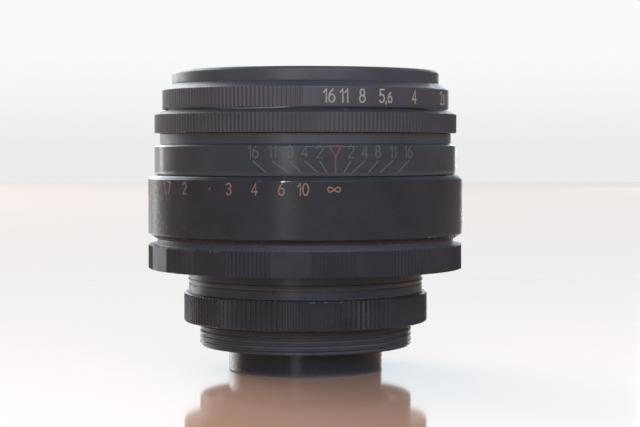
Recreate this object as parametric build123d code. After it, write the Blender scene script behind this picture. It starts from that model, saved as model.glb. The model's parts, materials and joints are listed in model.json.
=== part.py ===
from build123d import *
from math import copysign, cos, degrees, hypot, radians, sin, sqrt
import os

# A 58 mm f/2 prime lens of the preset kind, for the 42 mm screw mount.
#
# Frame: Z is the optical axis, +Z points at the subject, and z = 0 is the seat of the
# mounting flange. Azimuths are in degrees from the -Y side, where the scales are read,
# and grow towards +X. The lens rests at infinity, closed down to f/11.
# Sizes are in millimetres, and a profile is a list of (radius, height) corners.

# ---- Outside sizes -------------------------------------------------------------------
THREAD_R, THREAD_LENGTH = 20.95, 4.8          # M42 x 1 mount thread
FLANGE_R, FLANGE_TOP = 24.05, 5.8
REAR_TUBE_R, REAR_END = 15.18, -9.7
NECK_R = 23.1
GRIP_R, GRIP_BOTTOM, GRIP_TOP = 31.05, 10.5, 15.2
GROOVE_R, SCALE_BOTTOM = 29.25, 16.3
SCALE_TOP = 28.75
DOF_R, DOF_BOTTOM, DOF_TOP = 29.8, 28.9, 34.95
HEAD_R, HEAD_TOP = 28.72, 36.85
APERTURE_R, APERTURE_BOTTOM, APERTURE_TOP = 29.8, 36.95, 41.25
PRESET_R, PRESET_BOTTOM, PRESET_TOP = 28.25, 41.6, 46.5
RIM_R, RIM_TOP, FILTER_BORE_R = 26.3, 49.1, 24.1

# ---- Lobed grip ----------------------------------------------------------------------
LOBE_COUNT, LOBE_AZIMUTH = 12, 10.0
SCALLOP_WIDTH, SCALLOP_DEPTH = 14.5, 0.3      # degrees of the rim, and depth

# ---- Motion --------------------------------------------------------------------------
FOCUS_TURN, FOCUS_TRAVEL = 281.6, 8.97        # infinity to 0.5 m
APERTURE_OPEN, APERTURE_CLOSED = -90.0, 6.0   # ring angles of f/2 and f/16 from f/11
PRESET_PRESS = 0.3

# ---- Nested tubes --------------------------------------------------------------------
SHANK_R, SHANK_BORE, SHANK_END = 19.4, 16.6, -3.8
GUIDE_BORE, HELICOID_R = 21.45, 24.6
HELICOID_BOTTOM, HELICOID_TOP = 11.3, 30.0
BLOCK_R, BLOCK_BORE = 21.4, 20.6
BLOCK_BOTTOM, BLOCK_TOP = 6.0, 36.0
HEAD_BOTTOM, SKIRT_BOTTOM, SKIRT_BORE = 31.0, 28.1, 28.0
TUBE_R, TUBE_BORE, CELL_SEAT = 26.5, 24.6, 40.3
TUBE_NOSE_R, TUBE_NOSE_BOTTOM = 26.2, 45.1
CELL_TOP, NAME_RING_R, NAME_RING_TOP = 41.5, 22.6, 44.4
NUT_BORE, NUT_R, NUT_BOTTOM = 24.65, 26.9, 12.0
COLLAR_R, COLLAR_BOTTOM, COLLAR_TOP = 27.95, 29.25, 30.95
SLEEVE_R, SLEEVE_TOP = 28.0, 27.8
FREE = 0.05                                   # radial play of a turning or sliding fit
SNUG = 0.02                                   # play between parts that stay together

# ---- Iris ----------------------------------------------------------------------------
BLADE_COUNT = 8
STOP_R, BLADE_OUTER_R, BLADE_SPAN = 11.0, 16.95, (-8.0, 105.0)
PIVOT_R, CRANK = 17.6, 3.6                    # pivot circle, and pivot to cam pin
BLADE_SWING, SWING_RATIO = 29.8, 0.33         # swing at f/11, swing per turn of the ring
BLADE_THICK, BLADE_PITCH, BLADE_BOTTOM = 0.1, 0.15, 14.2
PLATE_BOTTOM, PLATE_TOP = 13.3, 14.1
CAM_BOTTOM, CAM_TOP, CAM_SLEEVE_TOP = 15.5, 16.5, 40.0
CAM_R, CAM_SLEEVE_BORE = 20.5, 19.6
PIVOT_PIN_R, CAM_PIN_R = 0.28, 0.2

# ---- Preset ring's collar and spring --------------------------------------------------
APERTURE_BORE, APERTURE_COLLAR_R, APERTURE_COLLAR_TOP = 26.55, 27.1, 45.1
SNAP_BOTTOM, SNAP_TOP, SNAP_GROOVE_R = 43.9, 44.4, 26.8
SPRING_R = 27.95
WASHER_BOTTOM, WASHER_TOP = 42.4, 42.9

# ---- Screws and keys -----------------------------------------------------------------
GRUB_R = 0.5
GROOVE_SCREW_Z, GROOVE_SCREW_TIP, GROOVE_SCREW_AZIMUTHS = 15.75, 25.4, (60, 180, 300)
DOF_SCREW_Z, DOF_SCREW_TIP, DOF_SCREW_AZIMUTHS = 32.0, 27.6, (120, 180, 240)
STOP_SCREW_R, STOP_SCREW_Z, STOP_SCREW_AZIMUTH = 0.6, 30.1, 180.0
STOP_GROOVE_R = 27.2
DRIVE_SCREW_R, DRIVE_SCREW_Z, DRIVE_SCREW_AZIMUTH = 0.8, 38.6, 190.0
KEY_WIDTH, KEY_BOTTOM, KEY_TOP, KEY_AZIMUTH = 3.0, 22.0, 28.0, 90.0
KEY_TIP_R, KEY_BACK_R = 20.75, 23.0

# ---- Glass ---------------------------------------------------------------------------
FRONT_R, CROWN_R, FLINT_R = 16.2, 14.6, 13.5  # edges of the front group
INNER_R, REAR_R = 11.5, 12.3                  # edges of the rear group
FLAT = None                                   # the curve of a flat face


def turned(*profile):
    """A ring or disc turned about the optical axis."""
    corners = [(r, 0, z) for r, z in profile]
    return revolve(make_face(Polyline(*corners, close=True)), Axis.Z)


def turned_arc(start, end, *profile):
    """The stretch of a turned ring from one azimuth to another."""
    corners = [(r, 0, z) for r, z in profile]
    section = make_face(Polyline(*corners, close=True))
    return Rot(0, 0, start - 90) * revolve(section, Axis.Z, end - start)


def tube(bore, outside, bottom, top):
    """A plain tube on the axis."""
    return turned((bore, bottom), (outside, bottom), (outside, top), (bore, top))


def radial_bar(azimuth, z, inner, outer, radius):
    """A round bar that points away from the axis."""
    place = Rot(0, 0, azimuth - 90) * Pos(inner, 0, z) * Rot(0, 90, 0)
    return place * Cylinder(radius, outer - inner, align=(Align.CENTER, Align.CENTER, Align.MIN))


def radial_block(azimuth, width, inner, outer, bottom, top):
    """A rectangular block that points away from the axis."""
    block = Box(outer - inner, width, top - bottom, align=(Align.MIN, Align.CENTER, Align.MIN))
    return Rot(0, 0, azimuth - 90) * Pos(inner, 0, bottom) * block


def slotted_grub(azimuth, z, inner, outer, radius=GRUB_R):
    """A headless screw with a driver slot in its outer end."""
    slot_width, slot_depth = 0.22, 0.3
    slot = radial_block(azimuth, slot_width, outer - slot_depth, outer + 1, z - 2, z + 2)
    return radial_bar(azimuth, z, inner, outer, radius) - slot


def upright_pin(x, y, radius, bottom, top):
    """A round pin along Z."""
    pin = Cylinder(radius, top - bottom, align=(Align.CENTER, Align.CENTER, Align.MIN))
    return Pos(x, y, bottom) * pin


def surface_z(vertex, curve, r):
    """Height of a spherical glass surface at a radius from the axis."""
    if curve is FLAT:
        return vertex
    return vertex - copysign(abs(curve) - sqrt(curve**2 - r**2), curve)


def glass(edge_r, front, rear):
    """A lens element. Each face is (vertex height, radius of curvature, clear radius),
    and a positive radius has its centre towards the mount."""
    outline = []
    for vertex, curve, clear in (front, rear):
        rim = surface_z(vertex, curve, clear)
        start, end = (0, 0, vertex), (clear, 0, rim)
        if curve is FLAT:
            outline.append(Line(start, (edge_r, 0, vertex)))
            continue
        middle = clear / 2
        outline.append(ThreePointArc(start, (middle, 0, surface_z(vertex, curve, middle)), end))
        if clear < edge_r:
            outline.append(Line(end, (edge_r, 0, rim)))
    front_rim = surface_z(front[0], front[1], front[2])
    rear_rim = surface_z(rear[0], rear[1], rear[2])
    outline.append(Line((edge_r, 0, front_rim), (edge_r, 0, rear_rim)))
    outline.append(Line((0, 0, front[0]), (0, 0, rear[0])))
    return revolve(make_face(outline), Axis.Z)


# ---- Mount: stays with the camera ----------------------------------------------------
def mount_ring():
    """Knurled flange with the mount thread below it."""
    lead = 0.4
    return turned(
        (SHANK_R + FREE, -THREAD_LENGTH), (THREAD_R - lead, -THREAD_LENGTH),
        (THREAD_R, -THREAD_LENGTH + lead), (THREAD_R, 0), (FLANGE_R, 0),
        (FLANGE_R, FLANGE_TOP - 0.45), (FLANGE_R - 0.45, FLANGE_TOP),
        (SHANK_R + FREE, FLANGE_TOP))


def mount_barrel():
    """Fixed barrel: shank, neck and the outer focusing thread."""
    groove, groove_bottom, groove_top = 0.3, 7.4, 7.8
    ridge, ridge_bottom, ridge_top = 0.15, 8.1, 8.4
    floor = 5.4
    barrel = turned(
        (SHANK_BORE, SHANK_END), (SHANK_R, SHANK_END), (SHANK_R, FLANGE_TOP),
        (NECK_R, FLANGE_TOP), (NECK_R, groove_bottom), (NECK_R - groove, groove_bottom),
        (NECK_R - groove, groove_top), (NECK_R, groove_top), (NECK_R, ridge_bottom),
        (NECK_R + ridge, ridge_bottom), (NECK_R + ridge, ridge_top), (NECK_R, ridge_top),
        (NECK_R, HELICOID_BOTTOM), (HELICOID_R, HELICOID_BOTTOM),
        (HELICOID_R, HELICOID_TOP), (GUIDE_BORE, HELICOID_TOP), (GUIDE_BORE, floor),
        (SHANK_BORE, floor))
    pocket = radial_block(KEY_AZIMUTH, KEY_WIDTH, KEY_TIP_R, KEY_BACK_R + SNUG, KEY_BOTTOM, KEY_TOP)
    return barrel - pocket - key_screw_shapes(SNUG)


def guide_key():
    """Key that stops the lens block from turning while it slides."""
    key = radial_block(KEY_AZIMUTH, KEY_WIDTH, KEY_TIP_R, KEY_BACK_R, KEY_BOTTOM, KEY_TOP)
    return key - key_screw_shapes(SNUG)


def key_screw_shapes(play=0.0):
    """Two cheese-head screws through the barrel wall into the key."""
    shank_r, head_r, head_bottom, head_top, tip = 0.6, 1.0, 23.7, 24.4, 21.6
    screws = []
    for z in (KEY_BOTTOM + 1.5, KEY_TOP - 1.5):
        shank = radial_bar(KEY_AZIMUTH, z, tip - play, head_bottom, shank_r + play)
        head_end = head_top if play == 0 else HELICOID_R + 1
        head = radial_bar(KEY_AZIMUTH, z, head_bottom - play, head_end, head_r + play)
        screws.append(shank + head)
    return Compound(children=screws)


# ---- Lens block: slides, never turns -------------------------------------------------
def inner_barrel():
    """Sliding barrel that carries the iris and the rear cell."""
    shelf_top, pocket_r = 9.0, 18.5
    barrel = turned(
        (REAR_TUBE_R + FREE, BLOCK_BOTTOM), (BLOCK_R, BLOCK_BOTTOM), (BLOCK_R, BLOCK_TOP),
        (BLOCK_BORE, BLOCK_TOP), (BLOCK_BORE, PLATE_BOTTOM), (pocket_r, PLATE_BOTTOM),
        (pocket_r, shelf_top), (REAR_TUBE_R + FREE, shelf_top))
    slot_bottom = KEY_BOTTOM - FOCUS_TRAVEL - 0.4
    slot = radial_block(KEY_AZIMUTH, KEY_WIDTH + 2 * FREE, BLOCK_BORE - 0.5, BLOCK_R + 1,
                        slot_bottom, KEY_TOP + 0.4)
    notch_floor = radial_block(KEY_AZIMUTH, KEY_WIDTH + 2, pocket_r, BLOCK_BORE, BLOCK_BOTTOM,
                               PLATE_BOTTOM)
    return barrel - (slot - notch_floor)


def block_head():
    """Stepped head: skirt, scale seat and the upper tube that the rings turn on."""
    head = turned(
        (BLOCK_R + SNUG, HEAD_BOTTOM), (SKIRT_BORE, HEAD_BOTTOM), (SKIRT_BORE, SKIRT_BOTTOM),
        (HEAD_R, SKIRT_BOTTOM), (HEAD_R, HEAD_TOP), (TUBE_R, HEAD_TOP),
        (TUBE_R, TUBE_NOSE_BOTTOM), (TUBE_NOSE_R, TUBE_NOSE_BOTTOM), (TUBE_NOSE_R, PRESET_TOP),
        (TUBE_BORE + 0.6, PRESET_TOP), (TUBE_BORE + 0.6, CELL_SEAT), (TUBE_BORE, CELL_SEAT),
        (TUBE_BORE, 35.0), (BLOCK_R + SNUG, 35.0))
    half_height = DRIVE_SCREW_R + FREE
    half_angle = degrees(half_height / TUBE_BORE) + 0.5
    slot = turned_arc(
        DRIVE_SCREW_AZIMUTH + APERTURE_OPEN - half_angle,
        DRIVE_SCREW_AZIMUTH + APERTURE_CLOSED + half_angle,
        (TUBE_BORE - 1, DRIVE_SCREW_Z - half_height), (TUBE_R + 1, DRIVE_SCREW_Z - half_height),
        (TUBE_R + 1, DRIVE_SCREW_Z + half_height), (TUBE_BORE - 1, DRIVE_SCREW_Z + half_height))
    stop_hole = radial_bar(STOP_SCREW_AZIMUTH, STOP_SCREW_Z, SKIRT_BORE - 0.5, HEAD_R + 1,
                           STOP_SCREW_R + SNUG)
    head = head - slot - stop_hole
    for azimuth in DOF_SCREW_AZIMUTHS:
        head -= radial_bar(azimuth, DOF_SCREW_Z, DOF_SCREW_TIP, HEAD_R + 1, GRUB_R + SNUG)
    return head


def dof_scale_ring():
    """Fixed ring with the index and the depth-of-field scale."""
    ring = turned(
        (HEAD_R + SNUG, DOF_BOTTOM), (DOF_R - 0.15, DOF_BOTTOM), (DOF_R, DOF_BOTTOM + 0.7),
        (DOF_R, DOF_TOP - 0.45), (HEAD_R + 0.1, DOF_TOP), (HEAD_R + SNUG, DOF_TOP))
    for azimuth in DOF_SCREW_AZIMUTHS:
        ring -= radial_bar(azimuth, DOF_SCREW_Z, HEAD_R - 0.5, DOF_R + 1, GRUB_R + SNUG)
    return ring


def dof_ring_screws():
    """Grub screws that hold the scale ring, round the back."""
    return [slotted_grub(azimuth, DOF_SCREW_Z, DOF_SCREW_TIP + SNUG, DOF_R - 0.1)
            for azimuth in DOF_SCREW_AZIMUTHS]


def thrust_retaining_ring():
    """Ring in the skirt that holds the focusing nut up against the head."""
    return tube(NUT_R + 0.1, SKIRT_BORE - SNUG, SKIRT_BOTTOM, COLLAR_BOTTOM - FREE)


def focus_stop_screw():
    """Screw whose tip runs in the arc groove of the focusing nut."""
    return slotted_grub(STOP_SCREW_AZIMUTH, STOP_SCREW_Z, STOP_GROOVE_R + 0.1, HEAD_R - SNUG,
                        STOP_SCREW_R)


def front_rim():
    """Front rim with the filter thread, screwed into the upper tube."""
    sleeve_r, lead, bevel = TUBE_BORE + 0.6 - SNUG, 0.3, 0.5
    return turned(
        (NAME_RING_R + FREE, CELL_TOP + FREE), (sleeve_r, CELL_TOP + FREE),
        (sleeve_r, PRESET_TOP), (RIM_R, PRESET_TOP), (RIM_R, RIM_TOP - bevel),
        (RIM_R - bevel, RIM_TOP), (FILTER_BORE_R + lead, RIM_TOP), (FILTER_BORE_R, RIM_TOP - lead),
        (FILTER_BORE_R, NAME_RING_TOP + 0.1), (NAME_RING_R + FREE, NAME_RING_TOP + 0.1))


def front_cell():
    """Cell of the front element and the front doublet."""
    lip_r, bottom, outer_r, flange_r = 11.0, 17.3, 19.4, 25.1
    recess_r, recess_bottom = 17.6, 39.2
    return turned(
        (lip_r, bottom), (outer_r, bottom), (outer_r, CELL_SEAT), (flange_r, CELL_SEAT),
        (flange_r, CELL_TOP), (recess_r, CELL_TOP), (recess_r, recess_bottom),
        (FRONT_R + FREE, recess_bottom), (FRONT_R + FREE, 31.8), (CROWN_R + FREE, 31.8),
        (CROWN_R + FREE, 24.45), (FLINT_R + FREE, 24.45), (FLINT_R + FREE, 18.0), (lip_r, 18.0))


def front_element():
    """First element, a positive meniscus."""
    return glass(FRONT_R, (39.0, 37.0, FRONT_R), (33.1, 106.0, FRONT_R))


def front_retaining_ring():
    """Threaded ring that holds the first element."""
    return turned((15.3, 35.95), (FRONT_R, 35.4), (FRONT_R, 37.2), (15.3, 37.2))


def name_ring():
    """Conical trim ring between the glass and the filter thread, left plain."""
    inner_r, spigot_r, bottom = 16.6, 17.55, 39.5
    return turned(
        (inner_r, bottom), (spigot_r, bottom), (spigot_r, CELL_TOP + FREE),
        (NAME_RING_R, CELL_TOP + FREE), (NAME_RING_R, NAME_RING_TOP),
        (NAME_RING_R - 0.45, NAME_RING_TOP), (inner_r, bottom + 0.8))


def front_doublet_crown():
    """Second element, flat where it is cemented to the third."""
    return glass(CROWN_R, (32.7, 23.0, CROWN_R), (24.5, FLAT, CROWN_R))


def front_doublet_flint():
    """Third element, deeply hollow towards the iris."""
    return glass(FLINT_R, (24.5, FLAT, FLINT_R), (22.3, 15.0, 10.4))


def doublet_retaining_ring():
    """Threaded ring that holds the front doublet."""
    return turned((13.6, 28.34), (CROWN_R, 27.58), (CROWN_R, 29.5), (13.6, 29.5))


def iris_base_plate():
    """Plate with the holes that the blades swing in."""
    plate = tube(11.2, BLOCK_BORE - FREE, PLATE_BOTTOM, PLATE_TOP)
    for number in range(BLADE_COUNT):
        x, y = polar(PIVOT_R, 360 / BLADE_COUNT * number)
        plate -= upright_pin(x, y, PIVOT_PIN_R + SNUG, PLATE_BOTTOM - 1, PLATE_TOP + 1)
    return plate


def rear_cell():
    """Cell of the rear doublet and the rear element, the lens's lowest part."""
    shelf_top, flange_top, flange_r, neck_r, lip_top = 9.0, 10.5, 18.3, 13.2, 13.15
    return turned(
        (REAR_R + FREE, REAR_END), (REAR_TUBE_R - 0.3, REAR_END),
        (REAR_TUBE_R, REAR_END + 0.3), (REAR_TUBE_R, shelf_top), (flange_r, shelf_top),
        (flange_r, flange_top), (neck_r, flange_top), (neck_r, lip_top), (10.6, lip_top),
        (10.6, 12.75), (INNER_R + FREE, 12.75), (INNER_R + FREE, -3.7), (REAR_R + FREE, -3.7))


def rear_cell_lock_ring():
    """Threaded ring that holds the rear cell down in the barrel."""
    return tube(16.0, 18.45, 10.5, 12.5)


def rear_doublet_flint():
    """Fourth element, hollow towards the iris."""
    return glass(INNER_R, (9.1, -17.0, 10.5), (6.9, 33.0, INNER_R))


def rear_doublet_crown():
    """Fifth element, cemented behind the fourth."""
    return glass(INNER_R, (6.9, 33.0, INNER_R), (-2.7, -24.0, INNER_R))


def rear_spacer_ring():
    """Spacer between the rear doublet and the rear element."""
    return turned((11.0, -3.65), (INNER_R, -3.7), (INNER_R, 0.2), (11.0, -0.1))


def rear_element():
    """Sixth element, biconvex."""
    return glass(REAR_R, (-3.0, 87.0, REAR_R), (-7.5, -47.0, REAR_R))


def rear_retaining_ring():
    """Threaded ring that holds the rear element."""
    return turned((11.2, -8.0), (REAR_R, -8.0), (REAR_R, -5.95), (11.2, -6.25))


# ---- Focusing ring: turns on the block -----------------------------------------------
def focus_nut():
    """Nut that runs on the fixed barrel's thread and lifts the block by its collar."""
    nut = turned(
        (NUT_BORE, NUT_BOTTOM), (NUT_R, NUT_BOTTOM), (NUT_R, COLLAR_BOTTOM),
        (COLLAR_R, COLLAR_BOTTOM), (COLLAR_R, COLLAR_TOP), (NUT_BORE, COLLAR_TOP))
    half_height = STOP_SCREW_R + FREE
    half_angle = degrees(half_height / STOP_GROOVE_R) + 0.3
    groove = turned_arc(
        STOP_SCREW_AZIMUTH - FOCUS_TURN - half_angle, STOP_SCREW_AZIMUTH + half_angle,
        (STOP_GROOVE_R, STOP_SCREW_Z - half_height), (COLLAR_R + 1, STOP_SCREW_Z - half_height),
        (COLLAR_R + 1, STOP_SCREW_Z + half_height), (STOP_GROOVE_R, STOP_SCREW_Z + half_height))
    return nut - groove - groove_screw_holes()


def groove_screw_holes():
    """Tapped holes through the grip ring into the nut."""
    return Compound(children=[
        radial_bar(azimuth, GROOVE_SCREW_Z, GROOVE_SCREW_TIP, GROOVE_R + 1, GRUB_R + SNUG)
        for azimuth in GROOVE_SCREW_AZIMUTHS])


def focus_grip_ring():
    """Lobed grip with a groove above it and a sleeve that carries the distance scale."""
    ring = turned(
        (HELICOID_R + 0.2, GRIP_BOTTOM), (GRIP_R - 0.15, GRIP_BOTTOM),
        (GRIP_R, GRIP_BOTTOM + 0.15), (GRIP_R, GRIP_TOP - 0.15), (GRIP_R - 0.15, GRIP_TOP),
        (GROOVE_R, GRIP_TOP), (GROOVE_R, SCALE_BOTTOM), (SLEEVE_R, SCALE_BOTTOM),
        (SLEEVE_R, SLEEVE_TOP), (NUT_R + SNUG, SLEEVE_TOP), (NUT_R + SNUG, NUT_BOTTOM - SNUG),
        (HELICOID_R + 0.2, NUT_BOTTOM - SNUG))
    half_chord = GRIP_R * sin(radians(SCALLOP_WIDTH / 2))
    edge = GRIP_R * cos(radians(SCALLOP_WIDTH / 2))
    floor = GRIP_R - SCALLOP_DEPTH
    rise = edge - floor
    cutter_r = (half_chord**2 + rise**2) / (2 * rise)
    cutter = upright_pin(floor + cutter_r, 0, cutter_r, GRIP_BOTTOM - 1, GRIP_TOP)
    period = 360 / LOBE_COUNT
    for number in range(LOBE_COUNT):
        ring -= Rot(0, 0, LOBE_AZIMUTH + period * (number + 0.5) - 90) * cutter
    return ring - groove_screw_holes()


def distance_ring():
    """Ring with the distance scale, screwed on the grip ring's sleeve."""
    recess_r, recess_bottom = 28.85, 27.85
    return turned(
        (SLEEVE_R + SNUG, SCALE_BOTTOM), (29.3, SCALE_BOTTOM), (GRIP_R, SCALE_BOTTOM + 1.1),
        (GRIP_R, SCALE_TOP - 0.7), (GRIP_R - 0.5, SCALE_TOP), (recess_r, SCALE_TOP),
        (recess_r, recess_bottom),
        (SLEEVE_R + SNUG, recess_bottom))


def focus_set_screws():
    """Grub screws in the groove that lock the grip ring to the nut."""
    return [slotted_grub(azimuth, GROOVE_SCREW_Z, GROOVE_SCREW_TIP + SNUG, GROOVE_R - 0.1)
            for azimuth in GROOVE_SCREW_AZIMUTHS]


# ---- Aperture ring and what turns with it --------------------------------------------
def aperture_ring():
    """Ring that opens and closes the iris, with the collar of the preset ring."""
    ring = turned(
        (APERTURE_BORE, APERTURE_BOTTOM), (APERTURE_R - 0.15, APERTURE_BOTTOM),
        (APERTURE_R, APERTURE_BOTTOM + 0.15), (APERTURE_R, APERTURE_TOP - 0.7),
        (28.2, APERTURE_TOP), (APERTURE_COLLAR_R, APERTURE_TOP), (APERTURE_COLLAR_R, SNAP_BOTTOM),
        (SNAP_GROOVE_R, SNAP_BOTTOM), (SNAP_GROOVE_R, SNAP_TOP), (APERTURE_COLLAR_R, SNAP_TOP),
        (APERTURE_COLLAR_R, APERTURE_COLLAR_TOP), (APERTURE_BORE, APERTURE_COLLAR_TOP))
    return ring - drive_screw(SNUG)


def drive_screw(play=0.0):
    """Screw through the tube's slot that turns the iris with the ring."""
    return radial_bar(DRIVE_SCREW_AZIMUTH, DRIVE_SCREW_Z, CAM_SLEEVE_BORE + 0.1 - play,
                      28.6 + play, DRIVE_SCREW_R + play)


def polar(radius, angle):
    """A point at an angle from +X."""
    return radius * cos(radians(angle)), radius * sin(radians(angle))


def blade_swing(ring_angle):
    """Swing of every blade from fully open, at an angle of the aperture ring."""
    return BLADE_SWING + SWING_RATIO * ring_angle


def cam_point(ring_angle):
    """Where the first blade's cam pin lies, seen from the turning cam ring."""
    swing = radians(blade_swing(ring_angle))
    x, y = PIVOT_R + CRANK * sin(swing), -CRANK * cos(swing)
    turn = radians(-ring_angle)
    return x * cos(turn) - y * sin(turn), x * sin(turn) + y * cos(turn)


def cam_slot():
    """One spiral slot of the cam ring, its sides a pin's clearance from the pin's path."""
    half_width, overrun, steps = CAM_PIN_R + 0.02, 1.5, 12
    first, last = APERTURE_OPEN - overrun, APERTURE_CLOSED + overrun
    sides = ([], [])
    for step in range(steps + 1):
        angle = first + (last - first) * step / steps
        x, y = cam_point(angle)
        ahead_x, ahead_y = cam_point(angle + 0.01)
        length = hypot(ahead_x - x, ahead_y - y)
        across_x, across_y = -(ahead_y - y) / length, (ahead_x - x) / length
        for side, sign in zip(sides, (1, -1)):
            side.append((x + sign * half_width * across_x, y + sign * half_width * across_y))
    outline = [Spline(*sides[0]), Spline(*sides[1]), Line(sides[0][0], sides[1][0]),
               Line(sides[0][-1], sides[1][-1])]
    return Pos(0, 0, CAM_BOTTOM - 1) * extrude(make_face(outline), 3)


def iris_drive_ring():
    """Cam ring with one spiral slot for each blade, on a sleeve round the front cell."""
    ring = turned(
        (11.4, CAM_BOTTOM), (CAM_R, CAM_BOTTOM), (CAM_R, CAM_SLEEVE_TOP),
        (CAM_SLEEVE_BORE, CAM_SLEEVE_TOP), (CAM_SLEEVE_BORE, CAM_TOP), (11.4, CAM_TOP))
    slot = cam_slot() & tube(11.6, CAM_R - 0.2, CAM_BOTTOM - 1, CAM_TOP)
    for number in range(BLADE_COUNT):
        ring -= Rot(0, 0, 360 / BLADE_COUNT * number) * slot
    return ring - drive_screw(SNUG)


def preset_snap_ring():
    """Open wire ring in the collar's groove that keeps the preset ring on."""
    gap = 6
    return turned_arc(
        180 + gap / 2, 540 - gap / 2,
        (SNAP_GROOVE_R + SNUG, SNAP_BOTTOM + FREE), (27.6, SNAP_BOTTOM + FREE),
        (27.6, SNAP_TOP - FREE), (SNAP_GROOVE_R + SNUG, SNAP_TOP - FREE))


def preset_wave_spring():
    """Spring that holds the preset ring forward, as the ring of space it fills."""
    return tube(APERTURE_COLLAR_R + 0.1, SPRING_R, APERTURE_TOP, WASHER_BOTTOM)


def preset_thrust_washer():
    """Washer between the spring and the preset ring."""
    return tube(APERTURE_COLLAR_R + FREE, SPRING_R, WASHER_BOTTOM, WASHER_TOP)


def preset_ring():
    """Ring that sets how far the iris may close."""
    bore, groove_r = APERTURE_COLLAR_R + 0.1, 27.65
    groove_bottom, groove_top = SNAP_BOTTOM - FREE, SNAP_TOP + PRESET_PRESS + FREE
    lip_bottom = APERTURE_COLLAR_TOP + PRESET_PRESS + FREE
    return turned(
        (bore, WASHER_TOP), (SPRING_R + FREE, WASHER_TOP), (SPRING_R + FREE, PRESET_BOTTOM),
        (PRESET_R - 0.15, PRESET_BOTTOM), (PRESET_R, PRESET_BOTTOM + 0.15),
        (PRESET_R, PRESET_TOP - 1.2), (26.45, PRESET_TOP), (26.38, PRESET_TOP),
        (26.38, lip_bottom), (bore, lip_bottom), (bore, groove_top), (groove_r, groove_top),
        (groove_r, groove_bottom), (bore, groove_bottom))


def iris_blade(number):
    """A blade with its pivot pin below and its cam pin above, at its own level."""
    level = BLADE_BOTTOM + BLADE_PITCH * number
    first, last = BLADE_SPAN
    ear_r, tail_r = 0.8, 0.5
    sector = turned_arc(
        first + 90, last + 90, (STOP_R, level), (BLADE_OUTER_R, level),
        (BLADE_OUTER_R, level + BLADE_THICK), (STOP_R, level + BLADE_THICK))
    tail = make_face(Polyline((PIVOT_R - ear_r, 0), (PIVOT_R + ear_r, 0),
                              (PIVOT_R + tail_r, -CRANK), (PIVOT_R - tail_r, -CRANK), close=True))
    ears = Pos(0, 0, level) * extrude(tail, BLADE_THICK)
    ears += upright_pin(PIVOT_R, 0, ear_r, level, level + BLADE_THICK)
    ears += upright_pin(PIVOT_R, -CRANK, tail_r, level, level + BLADE_THICK)
    blade = sector + ears
    blade += upright_pin(PIVOT_R, 0, PIVOT_PIN_R, PLATE_BOTTOM + 0.1, level + BLADE_THICK)
    blade += upright_pin(PIVOT_R, -CRANK, CAM_PIN_R, level, CAM_TOP - 0.1)
    swung = Pos(PIVOT_R, 0, 0) * Rot(0, 0, blade_swing(0)) * Pos(-PIVOT_R, 0, 0) * blade
    return Rot(0, 0, 360 / BLADE_COUNT * number) * swung


PIECES = (
    mount_ring, mount_barrel, guide_key,
    inner_barrel, block_head, dof_scale_ring, dof_ring_screws, thrust_retaining_ring,
    focus_stop_screw, front_rim, front_cell, front_element, front_retaining_ring, name_ring,
    front_doublet_crown, front_doublet_flint, doublet_retaining_ring, iris_base_plate,
    rear_cell, rear_cell_lock_ring, rear_doublet_flint, rear_doublet_crown, rear_spacer_ring,
    rear_element, rear_retaining_ring,
    focus_nut, focus_grip_ring, distance_ring, focus_set_screws,
    aperture_ring, iris_drive_ring, preset_snap_ring, preset_wave_spring,
    preset_thrust_washer, preset_ring,
)

os.makedirs("parts", exist_ok=True)
nodes = {piece.__name__: piece() for piece in PIECES}
nodes["guide_key_screws"] = key_screw_shapes()
nodes["aperture_drive_screw"] = drive_screw()
for number in range(BLADE_COUNT):
    nodes[f"iris_blade_{number + 1}"] = iris_blade(number)

for name, shape in nodes.items():
    solids = shape if isinstance(shape, list) else shape.solids()
    whole = solids[0] if len(solids) == 1 else Compound(children=list(solids))
    whole.label = name
    export_step(whole, f"parts/{name}.step")
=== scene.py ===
import json
import math

import bmesh
import bpy
import numpy as np
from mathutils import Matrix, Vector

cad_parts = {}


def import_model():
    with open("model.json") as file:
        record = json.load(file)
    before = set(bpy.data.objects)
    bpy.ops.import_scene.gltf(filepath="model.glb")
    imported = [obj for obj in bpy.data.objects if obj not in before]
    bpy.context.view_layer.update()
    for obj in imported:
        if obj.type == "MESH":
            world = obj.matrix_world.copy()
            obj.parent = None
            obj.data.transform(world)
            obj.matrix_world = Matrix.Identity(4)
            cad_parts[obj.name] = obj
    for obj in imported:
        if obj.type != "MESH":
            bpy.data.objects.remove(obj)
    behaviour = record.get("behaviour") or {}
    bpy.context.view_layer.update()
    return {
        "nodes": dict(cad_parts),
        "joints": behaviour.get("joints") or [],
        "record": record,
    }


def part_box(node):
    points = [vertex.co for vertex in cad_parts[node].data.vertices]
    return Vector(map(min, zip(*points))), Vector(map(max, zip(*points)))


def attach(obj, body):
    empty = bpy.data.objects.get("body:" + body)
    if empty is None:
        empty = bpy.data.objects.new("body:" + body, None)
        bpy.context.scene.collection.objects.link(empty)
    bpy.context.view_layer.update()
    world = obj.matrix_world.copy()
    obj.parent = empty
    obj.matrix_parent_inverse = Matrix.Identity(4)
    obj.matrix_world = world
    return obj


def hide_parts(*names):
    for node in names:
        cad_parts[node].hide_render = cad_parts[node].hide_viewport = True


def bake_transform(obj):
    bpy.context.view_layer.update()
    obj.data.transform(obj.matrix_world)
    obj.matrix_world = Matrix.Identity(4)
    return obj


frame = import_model()

# Sizes are in millimetres unless a name says otherwise. Azimuths are in degrees from the
# -Y side, where the scales are read, and grow towards +X.
MM = 0.001


# ---- What the frame says -----------------------------------------------------------------
def extent(node):
    """Outer radius, bottom and top of a round node."""
    low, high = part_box(node)
    return max(high[0], high[1]) / MM, low[2] / MM, high[2] / MM


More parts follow.
